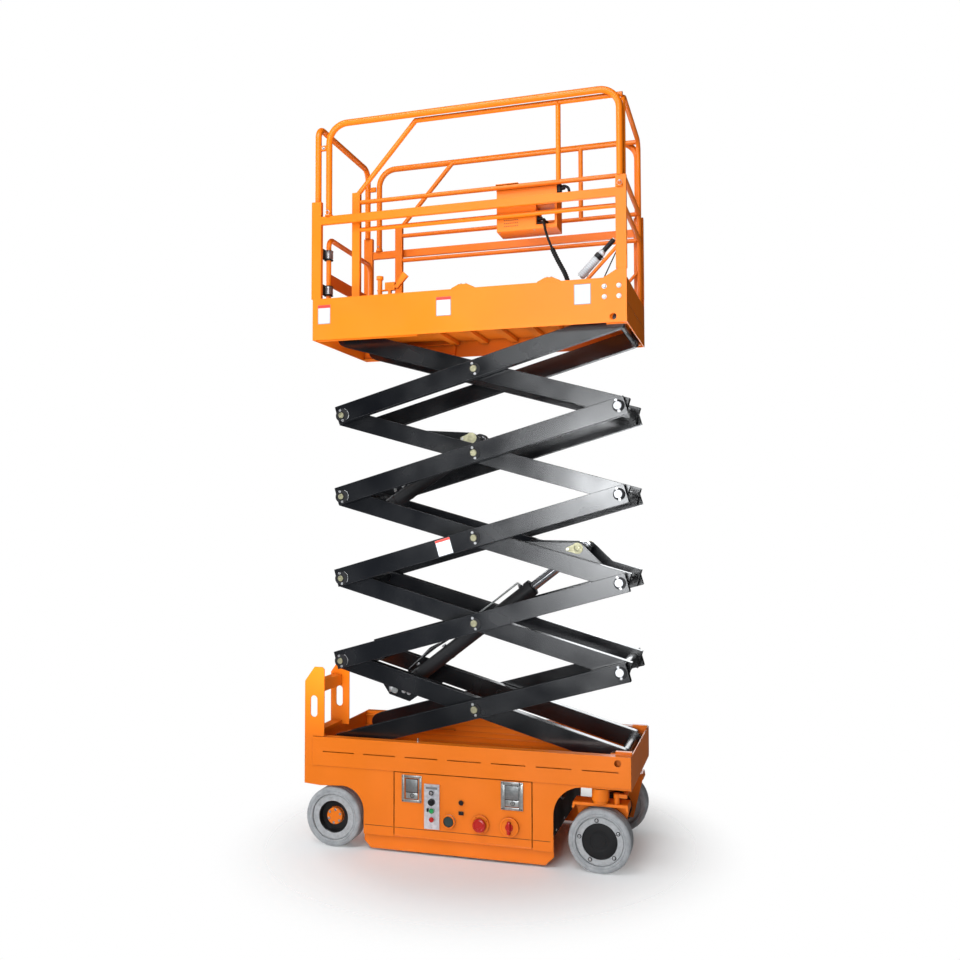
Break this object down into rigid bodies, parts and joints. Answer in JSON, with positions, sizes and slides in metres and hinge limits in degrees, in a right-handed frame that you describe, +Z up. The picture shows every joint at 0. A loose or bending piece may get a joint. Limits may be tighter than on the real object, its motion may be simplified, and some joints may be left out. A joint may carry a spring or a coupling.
{
  "type": "electric scissor lift",
  "caption": "Narrow self-propelled electric scissor lift, part raised: five-stage scissor stack on a wheeled chassis, with a railed platform, sliding deck extension, gate and entry ladder.",
  "frame": {"origin": "on the ground under the centre of the machine", "axes": "+Z up, +X towards the steered wheels, -Y towards the ground controls side"},
  "size_m": [1.74, 0.79, 3.9054],
  "materials": {
    "orange_paint": "gloss orange powder coat",
    "arm_paint": "high-gloss blue-black paint",
    "tyre_rubber": "light grey non-marking solid rubber",
    "rim_paint": "satin light grey paint",
    "zinc_steel": "zinc-plated steel",
    "black_plastic": "textured black plastic",
    "bearing_plastic": "smooth dark bearing plastic",
    "switch_mix": "gloss red plastic over a black base",
    "cable_rubber": "matt black rubber",
    "chrome_rod": "polished chrome",
    "cylinder_paint": "satin black paint",
    "motor_paint": "satin black paint over castings",
    "grey_plate": "brushed aluminium plate",
    "battery_case": "moulded battery cases",
    "floor_paint": "orange paint on chequer plate"
  },
  "bodies": {
    "chassis": {"chassis_frame": "orange_paint", "side_panels": "orange_paint", "equipment_trays": "orange_paint", "entry_ladder": "orange_paint", "battery_pack": "battery_case", "power_unit": "cylinder_paint", "rear_axle": "orange_paint"},
    "platform": {"platform_frame": "orange_paint", "platform_floor": "floor_paint", "slide_guides": "orange_paint", "base_rails": "orange_paint", "side_hoops": "orange_paint", "entry_hoop": "orange_paint", "gate_hinges": "orange_paint"},
    "extension": {"extension_deck": "orange_paint", "extension_rail_near": "orange_paint", "extension_rail_far": "orange_paint", "extension_front_hoop": "orange_paint", "control_box": "orange_paint", "control_cable": "cable_rubber", "extension_lock": "orange_paint", "document_tube": "zinc_steel"},
    "gate": {"entry_gate": "orange_paint"},
    "door_near": {"door_near": "orange_paint", "door_latches_near": "zinc_steel", "ground_controls": "grey_plate", "power_switches": "switch_mix"},
    "door_far": {"door_far": "orange_paint", "door_latches_far": "zinc_steel"},
    "guard_near": {"pothole_guard_near": "orange_paint"},
    "guard_far": {"pothole_guard_far": "orange_paint"},
    "rear_wheel_near": {"rear_tyre_near": "tyre_rubber", "rear_rim_near": "rim_paint"},
    "rear_wheel_far": {"rear_tyre_far": "tyre_rubber", "rear_rim_far": "rim_paint"},
    "front_wheel_near": {"front_tyre_near": "tyre_rubber", "front_rim_near": "rim_paint"},
    "front_wheel_far": {"front_tyre_far": "tyre_rubber", "front_rim_far": "rim_paint"},
    "knuckle_near": {"steer_yoke_near": "orange_paint", "drive_motor_near": "motor_paint"},
    "knuckle_far": {"steer_yoke_far": "orange_paint", "drive_motor_far": "motor_paint"},
    "tie_bar": {"tie_rod": "orange_paint"},
    "lower_pads": {"lower_slide_pads": "bearing_plastic"},
    "upper_pads": {"upper_slide_pads": "bearing_plastic"},
    "lower_barrel": {"lower_cylinder_barrel": "cylinder_paint"},
    "lower_rod": {"lower_cylinder_rod": "chrome_rod"},
    "upper_barrel": {"upper_cylinder_barrel": "cylinder_paint"},
    "upper_rod": {"upper_cylinder_rod": "chrome_rod"},
    "inner_1": {"inner_arm_1": "arm_paint"},
    "outer_1": {"outer_arm_1": "arm_paint"},
    "inner_2": {"inner_arm_2": "arm_paint"},
    "outer_2": {"outer_arm_2": "arm_paint"},
    "inner_3": {"inner_arm_3": "arm_paint"},
    "outer_3": {"outer_arm_3": "arm_paint"},
    "inner_4": {"inner_arm_4": "arm_paint"},
    "outer_4": {"outer_arm_4": "arm_paint"},
    "inner_5": {"inner_arm_5": "arm_paint"},
    "outer_5": {"outer_arm_5": "arm_paint"}
  },
  "joints": [
    {"name": "lift", "type": "hinge", "parent": "chassis", "child": "inner_1", "pos_m": [0.808, 0, 0.52], "axis": [0, 1, 0], "range_deg": [-12.7, 26.9]},
    {"name": "centre_pin_1", "type": "hinge", "parent": "inner_1", "child": "outer_1", "pos_m": [0.05494, 0, 0.74164], "axis": [0, -1, 0], "range_deg": [-25.5, 53.9]},
    {"name": "end_pin_1", "type": "hinge", "parent": "outer_1", "child": "inner_2", "pos_m": [0.808, 0, 0.96328], "axis": [0, 1, 0], "range_deg": [-25.5, 53.9]},
    {"name": "centre_pin_2", "type": "hinge", "parent": "inner_2", "child": "outer_2", "pos_m": [0.05494, 0, 1.18491], "axis": [0, -1, 0], "range_deg": [-25.5, 53.9]},
    {"name": "end_pin_2", "type": "hinge", "parent": "outer_2", "child": "inner_3", "pos_m": [0.808, 0, 1.40655], "axis": [0, 1, 0], "range_deg": [-25.5, 53.9]},
    {"name": "centre_pin_3", "type": "hinge", "parent": "inner_3", "child": "outer_3", "pos_m": [0.05494, 0, 1.62819], "axis": [0, -1, 0], "range_deg": [-25.5, 53.9]},
    {"name": "end_pin_3", "type": "hinge", "parent": "outer_3", "child": "inner_4", "pos_m": [0.808, 0, 1.84983], "axis": [0, 1, 0], "range_deg": [-25.5, 53.9]},
    {"name": "centre_pin_4", "type": "hinge", "parent": "inner_4", "child": "outer_4", "pos_m": [0.05494, 0, 2.07147], "axis": [0, -1, 0], "range_deg": [-25.5, 53.9]},
    {"name": "end_pin_4", "type": "hinge", "parent": "outer_4", "child": "inner_5", "pos_m": [0.808, 0, 2.2931], "axis": [0, 1, 0], "range_deg": [-25.5, 53.9]},
    {"name": "centre_pin_5", "type": "hinge", "parent": "inner_5", "child": "outer_5", "pos_m": [0.05494, 0, 2.51474], "axis": [0, -1, 0], "range_deg": [-25.5, 53.9]},
    {"name": "platform_pivot", "type": "hinge", "parent": "outer_5", "child": "platform", "pos_m": [0.808, 0, 2.73638], "axis": [0, 1, 0], "range_deg": [-12.8, 27]},
    {"name": "lower_pads_level", "type": "hinge", "parent": "outer_1", "child": "lower_pads", "pos_m": [-0.69812, 0, 0.52], "axis": [0, 1, 0], "range_deg": [-12.8, 27]},
    {"name": "upper_pads_level", "type": "hinge", "parent": "inner_5", "child": "upper_pads", "pos_m": [-0.69812, 0, 2.73638], "axis": [0, -1, 0], "range_deg": [-12.8, 27]},
    {"name": "lower_cylinder_swing", "type": "hinge", "parent": "inner_1", "child": "lower_barrel", "pos_m": [-0.41886, 0, 0.80707], "axis": [0, -1, 0], "range_deg": [-26.38, 55.77]},
    {"name": "lower_cylinder_stroke", "type": "slide", "parent": "lower_barrel", "child": "lower_rod", "axis": [0.7929, 0, 0.6094], "range_m": [-0.2404, 0.508]},
    {"name": "upper_cylinder_swing", "type": "hinge", "parent": "inner_3", "child": "upper_barrel", "pos_m": [-0.56128, 0, 1.78349], "axis": [0, -1, 0], "range_deg": [-25.75, 54.44]},
    {"name": "upper_cylinder_stroke", "type": "slide", "parent": "upper_barrel", "child": "upper_rod", "axis": [0.8339, 0, 0.5519], "range_m": [-0.0982, 0.2069]},
    {"name": "extension_slide", "type": "slide", "parent": "platform", "child": "extension", "axis": [1, 0, 0], "range_m": [0, 0.9]},
    {"name": "gate_swing", "type": "hinge", "parent": "platform", "child": "gate", "pos_m": [-0.786, -0.284, 2.83638], "axis": [0, 0, -1], "range_deg": [0, 90]},
    {"name": "door_near_swing", "type": "hinge", "parent": "chassis", "child": "door_near", "pos_m": [0.01, -0.3735, 0.091], "axis": [1, 0, 0], "range_deg": [0, 90]},
    {"name": "door_far_swing", "type": "hinge", "parent": "chassis", "child": "door_far", "pos_m": [0.01, 0.3735, 0.091], "axis": [-1, 0, 0], "range_deg": [0, 90]},
    {"name": "guard_near_lift", "type": "slide", "parent": "chassis", "child": "guard_near", "axis": [0, 0, 1], "range_m": [0, 0.07]},
    {"name": "guard_far_lift", "type": "slide", "parent": "chassis", "child": "guard_far", "axis": [0, 0, 1], "range_m": [0, 0.07]},
    {"name": "rear_wheel_near_spin", "type": "hinge", "parent": "chassis", "child": "rear_wheel_near", "pos_m": [-0.702, -0.33, 0.155], "axis": [0, 1, 0], "continuous": true},
    {"name": "rear_wheel_far_spin", "type": "hinge", "parent": "chassis", "child": "rear_wheel_far", "pos_m": [-0.702, 0.33, 0.155], "axis": [0, 1, 0], "continuous": true},
    {"name": "steering", "type": "hinge", "parent": "chassis", "child": "knuckle_near", "pos_m": [0.713, -0.33, 0.37], "axis": [0, 0, 1], "range_deg": [-65, 65]},
    {"name": "steering_far", "type": "hinge", "parent": "chassis", "child": "knuckle_far", "pos_m": [0.713, 0.33, 0.37], "axis": [0, 0, 1], "range_deg": [-65.1, 65.1]},
    {"name": "tie_rod_pin", "type": "hinge", "parent": "knuckle_near", "child": "tie_bar", "pos_m": [0.793, -0.33, 0.372], "axis": [0, 0, -1], "range_deg": [-65.1, 65.1]},
    {"name": "front_wheel_near_spin", "type": "hinge", "parent": "knuckle_near", "child": "front_wheel_near", "pos_m": [0.713, -0.33, 0.155], "axis": [0, 1, 0], "continuous": true},
    {"name": "front_wheel_far_spin", "type": "hinge", "parent": "knuckle_far", "child": "front_wheel_far", "pos_m": [0.713, 0.33, 0.155], "axis": [0, 1, 0], "continuous": true}
  ],
  "couplings": [
    {"joint": "centre_pin_1", "follows": "lift", "ratio": 2},
    {"joint": "end_pin_1", "follows": "lift", "ratio": 2},
    {"joint": "centre_pin_2", "follows": "lift", "ratio": 2},
    {"joint": "end_pin_2", "follows": "lift", "ratio": 2},
    {"joint": "centre_pin_3", "follows": "lift", "ratio": 2},
    {"joint": "end_pin_3", "follows": "lift", "ratio": 2},
    {"joint": "centre_pin_4", "follows": "lift", "ratio": 2},
    {"joint": "end_pin_4", "follows": "lift", "ratio": 2},
    {"joint": "centre_pin_5", "follows": "lift", "ratio": 2},
    {"joint": "platform_pivot", "follows": "lift", "ratio": 1},
    {"joint": "lower_pads_level", "follows": "lift", "ratio": 1},
    {"joint": "upper_pads_level", "follows": "lift", "ratio": 1},
    {"joint": "lower_cylinder_swing", "follows": "lift", "ratio": 2.0695},
    {"joint": "lower_cylinder_stroke", "follows": "lift", "m_per_rad": 1.0798},
    {"joint": "upper_cylinder_swing", "follows": "lift", "ratio": 2.0199},
    {"joint": "upper_cylinder_stroke", "follows": "lift", "m_per_rad": 0.43859},
    {"joint": "steering_far", "follows": "steering", "ratio": 1},
    {"joint": "tie_rod_pin", "follows": "steering", "ratio": 1}
  ]
}
